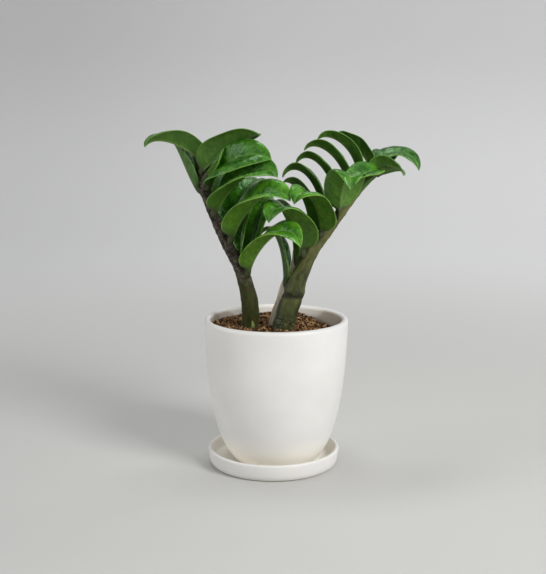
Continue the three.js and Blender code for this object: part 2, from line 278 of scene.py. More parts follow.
pot_inside = POT_RADIUS - POT_WALL
pot_floor_top = SAUCER_FLOOR + POT_FLOOR
pot_lip = POT_TOP - POT_LIP_RISE
pot_inner = curve_points(
    [(pot_inside, pot_lip), (53.2, 54), (42.5, 23), (28, pot_floor_top)], 30)
pot_outline = [
    (DRAIN_RADIUS, SAUCER_FLOOR),
    *curve_points([(POT_FOOT_RADIUS, SAUCER_FLOOR), (48, 17), (58.5, 52), (POT_RADIUS, pot_lip)], 44),
    *lip_points(POT_RADIUS - POT_WALL / 2, pot_lip, POT_WALL / 2, POT_LIP_RISE, 16),
    *pot_inner,
    (DRAIN_RADIUS, pot_floor_top),
    (DRAIN_RADIUS, SAUCER_FLOOR),
]


def pot_glaze():
    """The matt glaze, painted creamier and lighter inside and at the foot as bounced light, and
    stained where damp soil stood, a stain that is partly painted shade and climbs at the sides.
    """
    glaze, clean = matt_glaze("pot_glaze", SAUCER_FLOOR + POT_DRY_FOOT)
    x, y, z = glaze.parts_of(glaze.place())
    wall = ((pot_inside + 0.2) * MM, (pot_inside + 0.9) * MM)
    inner = glaze.step(glaze.from_axis(x, y), *wall, 1.0, 0.0)
    inner = glaze.sum("MULTIPLY", inner, glaze.step(z, *BRIM_HEIGHTS))
    # painted bounced light: a creamier, lighter glaze at the foot and on the inner wall
    painted_bounce = glaze.sum("MAXIMUM", glaze.step(z, *BOUNCE_LIGHT_HEIGHTS, 1.0, 0.0), inner)
    colour = glaze.blend(painted_bounce, clean, GLAZE_PAINTED_BOUNCE)
    # a tide stain of damp soil on the inner wall, partly painted shade, that climbs higher at the two
    # sides
    ragged = glaze.sum("MULTIPLY_ADD", glaze.clouds(glaze.place(), 130.0), -STAIN_AND_SHADE_RAGGED, z)
    sides = glaze.step(glaze.sum("ABSOLUTE", x), *SHADED_SIDES)
    ragged = glaze.sum("MULTIPLY_ADD", sides, -SIDE_SHADE_CLIMB, ragged)
    damp_and_shade = glaze.step(ragged, *STAIN_AND_SHADE_HEIGHTS, STAIN_AND_SHADE_STRENGTH, 0.0)
    stain_and_shade = glaze.sum("MULTIPLY", inner, damp_and_shade)
    return glaze.coat(glaze.blend(stain_and_shade, colour, STAIN_AND_SHADE_COLOUR))


pot = mesh_piece("pot_shell", *turned(pot_outline), pot_glaze())
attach(pot, "root")
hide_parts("pot")


# ---- Potting mix ----
# A loose mix of coir chips, crumbs and fibres that fills the pot. Its top is uneven and falls
# away on the right. The chips, crumbs and fibres lie on it loose, as they were poured.

SOIL_TOP = 118.6
SOIL_DROP = 7.0
SOIL_SLOPE = (16, 48)  # the top falls between these places across
SOIL_GAP = 0.45
SOIL_UNDER_GAP = 0.3
SOIL_RIM_STEP = 0.4
SOIL_RINGS = 45
SOIL_TONE = 0.2
STEM_FEET = ((-21.5, -8.0, 7.3), (6.0, -14.0, 9.2))  # where the stems leave it, with their radius
STEM_CLEARANCE = 0.3
CHIP_COUNT = 2100
CRUMB_COUNT = 3600
FIBRE_COUNT = 330
STANDING_FIBRES = 16
FIBRE_SIDES = 5
FIBRE_STEPS = 9
FIBRE_EDGE = 50.0  # no fibre starts past this, and none reaches past the next
FIBRE_REACH = 53.0
MIX_DARK = (0.016, 0.009, 0.005, 1)
MIX_BROWN = (0.105, 0.047, 0.018, 1)
MIX_RED = (0.235, 0.112, 0.040, 1)
MIX_TAN = (0.53, 0.33, 0.165, 1)


def smooth_step(start, end, value):
    share = np.clip((value - start) / (end - start), 0, 1)
    return share * share * (3 - 2 * share)


def soil_height(x, y):
    slope = SOIL_DROP * smooth_step(*SOIL_SLOPE, x)
    lumps = 0.7 * np.sin(0.31 * x + 1.3) * np.cos(0.27 * y) + 0.5 * np.sin(0.53 * x - 0.41 * y)
    return SOIL_TOP - slope + lumps


def coir_mix(name):
    """Coir in browns from damp and dark to dry and tan. Each bit keeps its own stored tone."""
    coir = Finish(name)
    place = coir.place()
    tone = coir.sum("MULTIPLY_ADD", coir.clouds(place, 900.0), 0.35, coir.stored_value("tone"))
    stops = [(0.15, MIX_DARK), (0.48, MIX_BROWN), (0.78, MIX_RED), (1.0, MIX_TAN)]
    colour = coir.ramp(coir.sum("MULTIPLY_ADD", tone, 1.4, -0.45), stops)
    strands = coir.clouds(coir.stretch(place, (1, 1, 3)), 1500.0, 4.0, 0.7)
    return coir.coat(colour, 0.88, coir.relief(strands, 0.0004), specular_ior_level=0.15)


def store(piece, name, values):
    """Keeps a number or a place at each point of a piece, for its material to read."""
    values = np.array(values, np.float32)
    kind, key = ("FLOAT_VECTOR", "vector") if values.ndim == 2 else ("FLOAT", "value")
    piece.data.attributes.new(name, kind, "POINT").data.foreach_set(key, values.ravel())


def on_soil(draw, count, edge):
    """Random places on the soil that keep clear of the pot's wall and of the stems."""
    found = []
    while len(found) < count:
        x, y = draw.uniform(-edge, edge, 2)
        clear = all(math.hypot(x - a, y - b) > r + STEM_CLEARANCE for a, b, r in STEM_FEET)
        if math.hypot(x, y) < edge and clear:
            found.append((x, y))
    return np.array(found)


def turned_about(draw, tilt):
    """A random turn about the upright, then a lean of up to tilt radians."""
    forward, sideways = draw.uniform(-tilt, tilt), draw.uniform(-tilt, tilt)
    lean = Matrix.Rotation(forward, 3, "X") @ Matrix.Rotation(sideways, 3, "Y")
    return np.array(Matrix.Rotation(draw.uniform(0, 2 * math.pi), 3, "Z") @ lean)


def scattered(name, draw, count, shape, faces, size_range, tilt, lift, tone_range, edge):
    """Many loose copies of one rough shape, each with its own size, lean and tone."""
    points, all_faces, tones = [], [], []
    shape = np.array(shape, float)
    for x, y in on_soil(draw, count, edge):
        size = [draw.uniform(low, high) / 2 for low, high in size_range]
        rough = shape * draw.uniform(0.7, 1.1, shape.shape)
        placed = (rough * size) @ turned_about(draw, tilt).T
        placed += (x, y, soil_height(x, y) + draw.uniform(*lift))
        first = len(points)
        points.extend(placed)
        all_faces.extend([first + k for k in face] for face in faces)
        tones.extend([draw.uniform(*tone_range)] * len(shape))
    piece = mesh_piece(name, points, all_faces, mix_finish, 20)
    store(piece, "tone", tones)
    return piece


def soil_body():
    """The mix as one closed body, with a lumpy top of fine grains, painted darker in their dips
    and lighter on their tops as shade and light.
    """
    wall = [(r - SOIL_GAP, z) for r, z in pot_inner if z < SOIL_TOP - SOIL_DROP - 2]
    wall[-1] = (wall[-1][0], pot_floor_top + SOIL_UNDER_GAP)
    rim = pot_inside - SOIL_GAP - SOIL_RIM_STEP
    shares = np.linspace(0, 1, SOIL_RINGS + 1)
    top = [(rim * s, SOIL_TOP) for s in shares[1:]]
    outline = [(0, wall[-1][1]), *wall[::-1], *top[::-1], (0, SOIL_TOP)]
    points, faces = turned(outline)
    tones = []
    for k, (x, y, z) in enumerate(points):
        tones.append(SOIL_TONE)
        if z == SOIL_TOP:
            grain = 1.1 * noise.noise((x * 0.45, y * 0.45, 3))
            grain += 0.7 * noise.noise((x * 1.1, y * 1.1, 8))
            points[k] = (x, y, float(soil_height(x, y)) + grain)
            # painted shade in the grains' dips and painted light on their tops
            tones[-1] = SOIL_TONE + 0.25 * grain
    piece = mesh_piece("potting_mix", points, faces, mix_finish)
    store(piece, "tone", tones)
    return piece


def between_rings(rings, count, first=0):
    """The faces that join rings of that many points, the first of which has that number."""
    faces = []
    for row in range(rings - 1):
        for k in range(count):
            p, q = first + row * count + k, first + row * count + (k + 1) % count
            faces.append([p, q, q + count, p + count])
    return faces


def end_caps(rings, count, first=0):
    """The faces that close the first and the last of such rings."""
    last = first + (rings - 1) * count
    return [list(reversed(range(first, first + count))), list(range(last, last + count))]


def fibre_rings(draw, x, y, stands):
    """The points of one bent fibre, in rings from end to end. It keeps inside the pot."""
    length = draw.uniform(4, 8) if stands else draw.uniform(4, 15)
    radius = draw.uniform(0.1, 0.24)
    heading = draw.uniform(0, 2 * math.pi)
    bend = draw.uniform(-0.22, 0.22)
    climb = draw.uniform(0.9, 1.35) if stands else draw.uniform(-0.05, 0.22)
    spot = np.array((x, y, soil_height(x, y) + (-0.5 if stands else 0.5)))
    points = []
    for step in range(FIBRE_STEPS):
        flat = math.cos(climb)
        along = np.array((math.cos(heading) * flat, math.sin(heading) * flat, math.sin(climb)))
        side = np.array((-math.sin(heading), math.cos(heading), 0.0))
        up = np.cross(along, side)
        wide = radius * (1 - 0.6 * (step / (FIBRE_STEPS - 1)))
        for k in range(FIBRE_SIDES):
            angle = 2 * math.pi * k / FIBRE_SIDES
            points.append(spot + wide * (side * math.cos(angle) + up * math.sin(angle)))
        spot = spot + along * length / FIBRE_STEPS
        out = math.hypot(*spot[:2])
        if out > FIBRE_REACH:
            spot[:2] *= FIBRE_REACH / out
        if not stands:
            spot[2] = max(spot[2], soil_height(*spot[:2]) + 0.3)
        heading += bend
        climb -= 0.05 if stands else 0.06
    return points


def coir_fibres(draw):
    """Thin threads that lie across the mix, with a few that stand up out of it."""
    points, faces, tones = [], [], []
    for number, (x, y) in enumerate(on_soil(draw, FIBRE_COUNT, FIBRE_EDGE)):
        first = len(points)
        points.extend(fibre_rings(draw, x, y, number < STANDING_FIBRES))
        faces.extend(between_rings(FIBRE_STEPS, FIBRE_SIDES, first))
        faces.extend(end_caps(FIBRE_STEPS, FIBRE_SIDES, first))
        tones.extend([draw.uniform(0.2, 1.0)] * FIBRE_SIDES * FIBRE_STEPS)
    piece = mesh_piece("coir_fibres", points, faces, mix_finish)
    store(piece, "tone", tones)
    return piece


CHIP_SHAPE = [(x, y, z) for z in (-1, 1) for y in (-1, 1) for x in (-1, 1)]
CHIP_FACES = [(0, 2, 3, 1), (4, 5, 7, 6), (0, 1, 5, 4), (2, 6, 7, 3), (0, 4, 6, 2), (1, 3, 7, 5)]
CRUMB_SHAPE = [(1, 0, 0), (-1, 0, 0), (0, 1, 0), (0, -1, 0), (0, 0, 1), (0, 0, -1)]
CRUMB_FACES = [(0, 2, 4), (2, 1, 4), (1, 3, 4), (3, 0, 4), (2, 0, 5), (1, 2, 5), (3, 1, 5), (0, 3, 5)]

mix_finish = coir_mix("coir_mix")
soil_draw = np.random.RandomState(11)
potting_mix = soil_body()
coir_chips = scattered(
    "coir_chips", soil_draw, CHIP_COUNT, CHIP_SHAPE, CHIP_FACES,
    size_range=((1.4, 4.6), (0.7, 1.9), (0.4, 1.1)), tilt=0.55, lift=(0.1, 1.1),
    tone_range=(0.15, 1.0), edge=51.6)
mix_crumbs = scattered(
    "mix_crumbs", soil_draw, CRUMB_COUNT, CRUMB_SHAPE, CRUMB_FACES,
    size_range=((0.6, 1.8), (0.6, 1.4), (0.5, 1.2)), tilt=1.5, lift=(0.2, 1.4),
    tone_range=(0.0, 0.9), edge=52.6)
fibres = coir_fibres(soil_draw)
for piece in (potting_mix, coir_chips, mix_crumbs, fibres):
    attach(piece, "root")
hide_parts("soil")


# ---- Left stem ----
# A fleshy round stem that stands in the mix. It is dark olive below and corky, grey brown and
# ringed with old scars above, where the stalks of its leaflets grow out of it.

STEM_SIDES = 48
STEM_STEPS_A_ROW = 9
SKIN_SINK = 0.985  # the skin's share of the radius, which leaves room for what stands out
SKIN_ROUND = 7  # the round on which its pattern is laid out
LEFT_STEM = (  # the centre line, with its radius
    (-21.5, -8, 96, 7.3), (-21.5, -8, 120, 7.3), (-21, -8, 130, 7.3), (-22, -8, 142, 7.0),
    (-25, -7, 155, 6.2), (-28.5, -6, 166, 5.6), (-32.5, -5, 174, 5.2), (-36.5, -4, 181, 4.8),
    (-41.5, -3, 190, 4.4), (-48.5, 0, 205, 4.1), (-55.5, 3, 221, 3.8), (-58, 4, 231, 3.7),
    (-61, 5, 242, 3.3), (-62, 6, 251, 2.9), (-62, 8, 257, 2.2),
)
LEFT_SCARS = (  # height, how far it stands out, and half its width
    (121, 0.35, 1.6), (143, 0.2, 1.2), (158, 0.35, 0.9), (163, 0.3, 0.8), (169, 0.4, 0.9),
    (176, 0.35, 0.8), (181, 0.3, 0.6), (187, 0.45, 0.9), (192, 0.35, 0.7), (198, 0.35, 0.7),
    (204, 0.4, 0.8), (210, 0.35, 0.7), (217, 0.4, 0.8), (224, 0.35, 0.7), (231, 0.4, 0.8),
    (239, 0.3, 0.7),
)
LEFT_FURROWS = 0.25
OLIVE_DARK = (0.007, 0.009, 0.001, 1)
OLIVE_LIGHT = (0.058, 0.056, 0.008, 1)
MOSS = (0.022, 0.042, 0.002, 1)
CORK_DARK = (0.006, 0.005, 0.003, 1)
CORK_BROWN = (0.040, 0.032, 0.021, 1)
CORK_GREY = (0.125, 0.106, 0.080, 1)
MIX_DUST = (0.15, 0.125, 0.085, 1)
CORK_HEIGHTS = (0.158, 0.182)  # the olive skin turns to cork between these
DUST_HEIGHTS = (0.108, 0.117)


def along_rows(rows, steps):
    """Places on the smooth line through the rows: steps for each stretch, and the last row."""
    rows = np.array(rows, float)
    rows = np.vstack([2 * rows[0] - rows[1], rows, 2 * rows[-1] - rows[-2]])
    places = []
    for k in range(len(rows) - 3):
        p0, p1, p2, p3 = rows[k:k + 4]
        t = np.arange(steps)[:, None] / steps
        a, b = (p2 - p0) / 2, (p3 - p1) / 2
        square, cube = 3 * (p2 - p1) - 2 * a - b, 2 * (p1 - p2) + a + b
        places.append(p1 + a * t + square * t ** 2 + cube * t ** 3)
    return np.vstack([*places, rows[-2]])


def unit(vectors):
    return vectors / np.linalg.norm(vectors, axis=-1, keepdims=True)


def run_along(places):
    """How far along the line each of its places lies."""
    return np.r_[0, np.cumsum(np.linalg.norm(np.diff(places, axis=0), axis=1))]


def bark_height(angle, run, height, scars, furrows):
    """How far the skin stands out at one place, with its furrows, its grain and its ring scars."""
    x, y = math.cos(angle), math.sin(angle)
    out = furrows * noise.noise((3 * x, 3 * y, run * 0.12))
    out += 0.12 * noise.noise((6 * x, 6 * y, run * 0.5))
    for number, (scar_height, proud, half) in enumerate(scars):
        uneven = 1 + 0.6 * noise.noise((x, y, number * 3.7))
        lean = 0.9 * math.sin(angle + number * 2.4)
        out += proud * uneven * math.exp(-((height - scar_height - lean) / half) ** 2)
    return out


def stem_piece(name, rows, scars, furrows, material):
    """A stem with ring scars and shallow furrows. It stores where each point lies on its skin."""
    line = along_rows(rows, STEM_STEPS_A_ROW)
    centres, radii = line[:, :3], line[:, 3]
    tangents = unit(np.gradient(centres, axis=0))
    run = run_along(centres)
    side = unit(np.cross(tangents, (0, 1, 0)))
    front = np.cross(tangents, side)
    angles = np.arange(STEM_SIDES) * 2 * np.pi / STEM_SIDES
    points, skin = [], []
    for k, centre in enumerate(centres):
        for angle in angles:
            out = radii[k] * SKIN_SINK + bark_height(angle, run[k], centre[2], scars, furrows)
            way = side[k] * math.cos(angle) + front[k] * math.sin(angle)
            points.append(centre + way * out)
            skin.append((SKIN_ROUND * math.cos(angle), SKIN_ROUND * math.sin(angle), run[k]))
    rings = len(centres)
    faces = between_rings(rings, STEM_SIDES)
    points.extend([centres[0], centres[-1] + tangents[-1] * radii[-1]])
    skin.extend([(0, 0, 0), (0, 0, run[-1])])
    foot, crown = len(points) - 2, len(points) - 1
    last = (rings - 1) * STEM_SIDES
    for k in range(STEM_SIDES):
        n = (k + 1) % STEM_SIDES
        faces.append([foot, n, k])
        faces.append([crown, last + k, last + n])
    piece = mesh_piece(name, points, faces, material, 60)
    store(piece, "skin", np.array(skin) * MM)
    return piece


def left_skin():
    """Olive brown skin that turns to grey brown cork higher up, with dark rings and dry flecks."""
    bark = Finish("left_stem_skin")
    skin, z = bark.stored("skin"), bark.parts_of(bark.place())[2]
    streaks = bark.clouds(bark.stretch(skin, (1, 1, 0.22)), 520.0, 5.0, 0.65)
    rings = bark.clouds(bark.stretch(skin, (0.3, 0.3, 3.2)), 330.0, 4.0, 0.6)
    patches = bark.clouds(skin, 190.0, 4.0, 0.65)
    olive = bark.ramp(streaks, [(0.3, OLIVE_DARK), (0.7, OLIVE_LIGHT)])
    mossy = bark.blend(bark.step(patches, 0.45, 0.65), olive, MOSS)
    blotches = bark.sum("MULTIPLY_ADD", rings, 0.45, bark.sum("MULTIPLY", patches, 0.6))
    cork = bark.ramp(blotches, [(0.43, CORK_DARK), (0.51, CORK_BROWN), (0.62, CORK_GREY)])
    higher = bark.step(bark.sum("MULTIPLY_ADD", patches, 0.02, z), *CORK_HEIGHTS)
    colour = bark.blend(higher, mossy, cork)
    flecked = bark.sum("MULTIPLY_ADD", bark.clouds(skin, 700.0), -0.012, z)
    colour = bark.blend(bark.step(flecked, *DUST_HEIGHTS, 0.8, 0.0), colour, MIX_DUST)
    ridges = bark.sum("MULTIPLY", rings, bark.sum("MULTIPLY_ADD", higher, 0.9, 0.1))
    relief = bark.relief(ridges, 0.0009, bark.relief(streaks, 0.0002))
    return bark.coat(colour, bark.step(streaks, 0.3, 0.7, 0.5, 0.72), relief, specular_ior_level=0.22)


left_stem = stem_piece("left_stem", LEFT_STEM, LEFT_SCARS, LEFT_FURROWS, left_skin())
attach(left_stem, "root")
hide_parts("frond_left")


# ---- Left leaflets ----
# Thick waxy blades on short stalks, in two rows. Each arches over its midrib and curls at its
# tip. They are glossy above and matt olive below, with a thin pale rim that is partly the margin's
# own colour and partly painted edge highlight and glow, and grow out of the stem.

BLADE_ROWS = 46
STALK_ROWS = 6
HALF_COLUMNS = 10
BLADE_THICKNESS = 1.15
MARGIN_THICKNESS = 0.7
RIM_ROUND = 0.28
STALK_HALF_WIDTH = 1.7
STALK_DEPTH = 2.6
STALK_DROP = 4  # how far under a blade's base its stalk leaves the stem
TIP_HALF_WIDTH = 0.45
TIP_LENGTH = 0.7
TIP_DROP = 0.4
BLADE_START = 0.04  # the share of the midrib before the blade widens
BASE_POWER = 0.5  # how fast the blade widens at its base and narrows towards its tip
TIP_POWER = 0.8
DOME_SHARE = 0.09  # of the half width
EDGE_DROP_SHARE = 0.07
PLEAT_HEIGHT = 0.2
WAVE_HEIGHT = 0.55
GROOVE_DEPTH = 0.5
GROOVE_HALF_WIDTH = 0.85
RIB_HEIGHT = 0.55
RIB_HALF_WIDTH = 1.3
LEAST_THICKNESS = 0.5
LEAST_HALF_WIDTH = 0.15
FIRST_LEAFLET_SEED = 100
PATTERN_SHIFT = 211.0  # sets each leaflet's mottling apart from the next one's
UPPER_DARK = ((0.005, 0.036, 0.002, 1), (0.027, 0.145, 0.004, 1))  # in an old and a young leaflet
UPPER_LIGHT = ((0.030, 0.130, 0.010, 1), (0.120, 0.360, 0.022, 1))
UNDER_MATT = ((0.068, 0.145, 0.016, 1), (0.130, 0.270, 0.022, 1))
UNDER_DEEP = ((0.024, 0.072, 0.004, 1), (0.060, 0.165, 0.006, 1))
# the pale rim: partly the margin's own colour, partly painted edge highlight and glow
RIM_PALE_AND_GLOW = ((0.12, 0.27, 0.045, 1), (0.27, 0.45, 0.06, 1))
CREASE_PALE = (0.12, 0.25, 0.045, 1)
RIB_PALE = (0.17, 0.24, 0.07, 1)
STALK_BROWN = (0.034, 0.026, 0.015, 1)
WAX_SHEEN = (0.62, 1.0, 0.55, 1)
# The base is where the blade starts. The rise, crest and tip are its midrib's handles, measured
# from the base. Then come its width, the fold and roll in degrees at its base and at its tip,
# and how young and bright it is.
LEFT_LEAFLETS = (
    # the row that arches to the right and forward, from the lowest up
    ((-24, -12, 166), (4, -8, 20), (34, -32, 56), (43, -38, 26), 31, (34, 18), (0, 35), 0.85),
    ((-38, -8, 193), (6, -7, 19), (35, -26, 55), (49, -30, 34), 36, (50, 20), (0, 35), 0.8),
    ((-52, -3, 214), (8, -9, 17), (39, -27, 51), (53, -29, 31), 34, (45, 20), (0, 45), 0.4),
    ((-57, 0, 235), (7, -8, 16), (35, -28, 36), (53, -32, 24), 36, (35, 10), (20, 45), 0.35),
    ((-55, -3, 243), (5, -3, 9), (12, -6, 17), (14, -6, 26), 22, (40, 30), (10, 10), 0.3),
    ((-62, 3, 248), (8, -7, 9), (44, -19, 34), (49, -25, 30), 34, (48, 8), (0, 5), 0.22),
    # the row behind it
    ((-29, -2, 171), (-1, 6, 19), (4, 16, 59), (16, 20, 52), 32, (30, 20), (0, 20), 0.55),
    ((-27, 2, 167), (10, 8, 24), (15, 16, 68), (25, 20, 54), 34, (25, 20), (10, 20), 0.5),
    ((-45, 3, 196), (12, 9, 21), (27, 21, 55), (38, 29, 33), 32, (30, 20), (0, 0), 0.15),
    ((-54, 6, 218), (2, 12, 17), (12, 30, 41), (20, 40, 18), 30, (30, 20), (0, 0), 0.2),
    # the ones that head to the left at the top
    ((-62, 5, 233), (-11, 5, 12), (-18, 12, 34), (-25, 15, 40), 25, (40, 30), (0, 0), 0.1),
    ((-62, 6, 242), (-2, 3, 10), (-6, 7, 25), (-15, 9, 28), 22, (40, 30), (0, 0), 0.2),
    ((-60, 8, 256), (-10, -3, 12), (-38, -14, 24), (-45.7, -20, 12), 30, (50, 25), (0, 0), 0.3),
)


# Places across a blade from rim to rim, in shares of half its width, closer together at the rims.
even_columns = np.linspace(-1, 1, 2 * HALF_COLUMNS + 1)
blade_columns = 0.5 * np.sin(even_columns * math.pi / 2) + 0.5 * even_columns
from_midrib, which_side = np.abs(blade_columns), np.sign(blade_columns)


def blade_width(share):
    """Half a blade's width along it, where the widest place counts as 1."""
    widest = BASE_POWER / (BASE_POWER + TIP_POWER)
    share = np.clip(share, 0, 1)
    most = widest ** BASE_POWER * (1 - widest) ** TIP_POWER
    return share ** BASE_POWER * (1 - share) ** TIP_POWER / most


def spun(vectors, axes, angles):
    """Vectors turned about their axes by angles in radians."""
    c, s = np.cos(angles)[:, None], np.sin(angles)[:, None]
    along = np.sum(axes * vectors, axis=1, keepdims=True)
    return vectors * c + np.cross(axes, vectors) * s + axes * along * (1 - c)


def midrib(base, handles, stem_rows):
    """The leaflet's line from inside the stem to its tip: the places on it, its direction there,
    and the share of the blade that lies behind each."""
    base = np.array(base, float)
    a, b, c, d = (base + handle for handle in ((0, 0, 0), *handles))
    u = np.linspace(0, 1, BLADE_ROWS)[:, None]
    tangents = 3 * ((b - a) * (1 - u) ** 2 + 2 * (c - b) * u * (1 - u) + (d - c) * u * u)
    line = along_rows(stem_rows, STEM_STEPS_A_ROW)
    below = base - (0, 0, STALK_DROP)
    root = line[np.argmin(np.linalg.norm(line[:, :3] - below, axis=1)), :3]
    t = np.linspace(0, 1, STALK_ROWS, endpoint=False)[:, None]
    reach = np.linalg.norm(base - root)
    start, end = unit(base - root), unit(tangents[:1])[0]
    stalk = ((2 * t ** 3 - 3 * t ** 2 + 1) * root + (t ** 3 - 2 * t ** 2 + t) * reach * start
             + (3 * t ** 2 - 2 * t ** 3) * base + (t ** 3 - t ** 2) * reach * end)
    centres = np.vstack([stalk, on_curve((a, b, c, d), u)])
    tangents = unit(np.vstack([start + (end - start) * t, unit(tangents)]))
    return centres, tangents, np.r_[np.zeros(STALK_ROWS), u[:, 0]]


def across_and_up(tangents, crest, tip, turn):
    """The ways to the blade's side and out of its upper face, turned about the midrib."""
    across = unit(np.cross(np.array(crest, float), np.array(tip, float) - crest))
    side = unit(across - tangents * (tangents @ across)[:, None])
    up = np.cross(tangents, side)
    return spun(side, tangents, turn), spun(up, tangents, turn)


def relief_across(inner, u, body, ripples):
    """What shapes the upper face in one row: its swell, pleats, waves and the midrib's groove."""
    phase, waves, pleats = ripples
    dome = 4 * from_midrib * (1 - from_midrib)
    edge_drop = EDGE_DROP_SHARE * np.clip((from_midrib - 0.7) / 0.3, 0, 1) ** 2
    swell = inner * body * (DOME_SHARE * dome - edge_drop)
    pleat = np.sin(2 * math.pi * (pleats * u - 1.3 * from_midrib) + phase[0])
    wave = np.sin(2 * math.pi * waves * u + phase[1] + 1.9 * which_side)
    groove = -GROOVE_DEPTH * np.exp(-(blade_columns * inner / GROOVE_HALF_WIDTH) ** 2) * (1 - 0.7 * u)
    return (swell, PLEAT_HEIGHT * dome * body * pleat,
            WAVE_HEIGHT * from_midrib ** 3 * body * wave, groove)


def thickness_across(inner, u, groove):
    """The blade's thickness in one row, with its rib and the keel that the stalk runs into."""
    keel = STALK_DEPTH * (1 - u) ** 3
    rib = RIB_HEIGHT * np.exp(-(blade_columns * inner / RIB_HALF_WIDTH) ** 2) * (1 - u) ** 1.2
    thick = (BLADE_THICKNESS + (MARGIN_THICKNESS - BLADE_THICKNESS) * from_midrib ** 2
             + keel * np.sqrt(np.clip(1 - from_midrib ** 2, 0, 1)) + rib + 0.6 * groove)
    return np.maximum(thick, LEAST_THICKNESS)


def stored_round(inner, u, run):
    """What one row's points store: where each lies along, across and through the blade, and its
    place on the blade laid out flat, with how far it is from the edge."""
    blade, spot = [], []
    for line, face, end in ((blade_columns, 0.0, 1.0), (blade_columns[::-1], 1.0, -1.0)):
        for s in line:
            blade.append((u, s, face))
            spot.append((s * inner, run, (1 - abs(s)) * inner))
        blade.append((u, end, 0.5))
        spot.append((end * inner, run, 0.0))
    return blade, spot


def leaflet(name, leaf, stem_rows, number, material):
    """One folded, recurved blade with a grooved midrib, pleated veins, a round rim and a stalk."""
    base, rise, crest, tip, width, fold, roll, youth = leaf
    centres, tangents, u = midrib(base, (rise, crest, tip), stem_rows)
    turn = np.radians(roll[0] + (roll[1] - roll[0]) * u)
    lift = np.radians(fold[0] + (fold[1] - fold[0]) * u)
    side, up = across_and_up(tangents, crest, tip, turn)
    half = width / 2 * blade_width((u - BLADE_START) / (1 - BLADE_START))
    half = np.maximum.reduce([half, STALK_HALF_WIDTH * (1 - u) ** 2, np.full(len(u), TIP_HALF_WIDTH)])
    body = smooth_step(0.03, 0.3, u) * smooth_step(1.0, 0.8, u)
    draw = np.random.RandomState(FIRST_LEAFLET_SEED + number)
    phase = draw.uniform(0, 2 * math.pi, 3)
    ripples = (phase, draw.uniform(1.4, 2.6), round(draw.uniform(5, 7)))

    points, stored_blade, stored_spot = [], [], []
    run = run_along(centres) + PATTERN_SHIFT * number
    for k, centre in enumerate(centres):
        inner = max(half[k] - RIM_ROUND, LEAST_HALF_WIDTH)
        relief = relief_across(inner, u[k], body[k], ripples)
        above = sum(relief, inner * from_midrib * math.sin(lift[k]))
        thick = thickness_across(inner, u[k], groove=relief[-1])
        top = (centre + np.outer(blade_columns * inner * math.cos(lift[k]), side[k])
               + np.outer(above, up[k]))
        low = (top - np.outer(thick * np.cos(lift[k] * from_midrib), up[k])
               + np.outer(thick * which_side * math.sin(lift[k]) * from_midrib, side[k]))
        rim = [(top[e] + low[e]) / 2 + side[k] * (which_side[e] * RIM_ROUND * math.cos(lift[k]))
               + up[k] * RIM_ROUND * math.sin(lift[k]) for e in (0, -1)]
        points.extend([*low, rim[1], *top[::-1], rim[0]])
        blade, spot = stored_round(inner, u[k], run[k])
        stored_blade.extend(blade)
        stored_spot.extend(spot)

    rows, count = len(u), 2 * len(blade_columns) + 2
    faces = between_rings(rows, count) + end_caps(rows, count)[:1]
    last = (rows - 1) * count
    points.append(centres[-1] + tangents[-1] * TIP_LENGTH - up[-1] * TIP_DROP)
    stored_blade.append((1.0, 0.0, 0.5))
    stored_spot.append((0.0, run[-1], 0.0))
    faces.extend([last + k, last + (k + 1) % count, len(points) - 1] for k in range(count))

    piece = mesh_piece(name, points, faces, material, 80)
    store(piece, "blade", stored_blade)
    store(piece, "spot", stored_spot)
    store(piece, "youth", [youth] * len(points))
    return piece


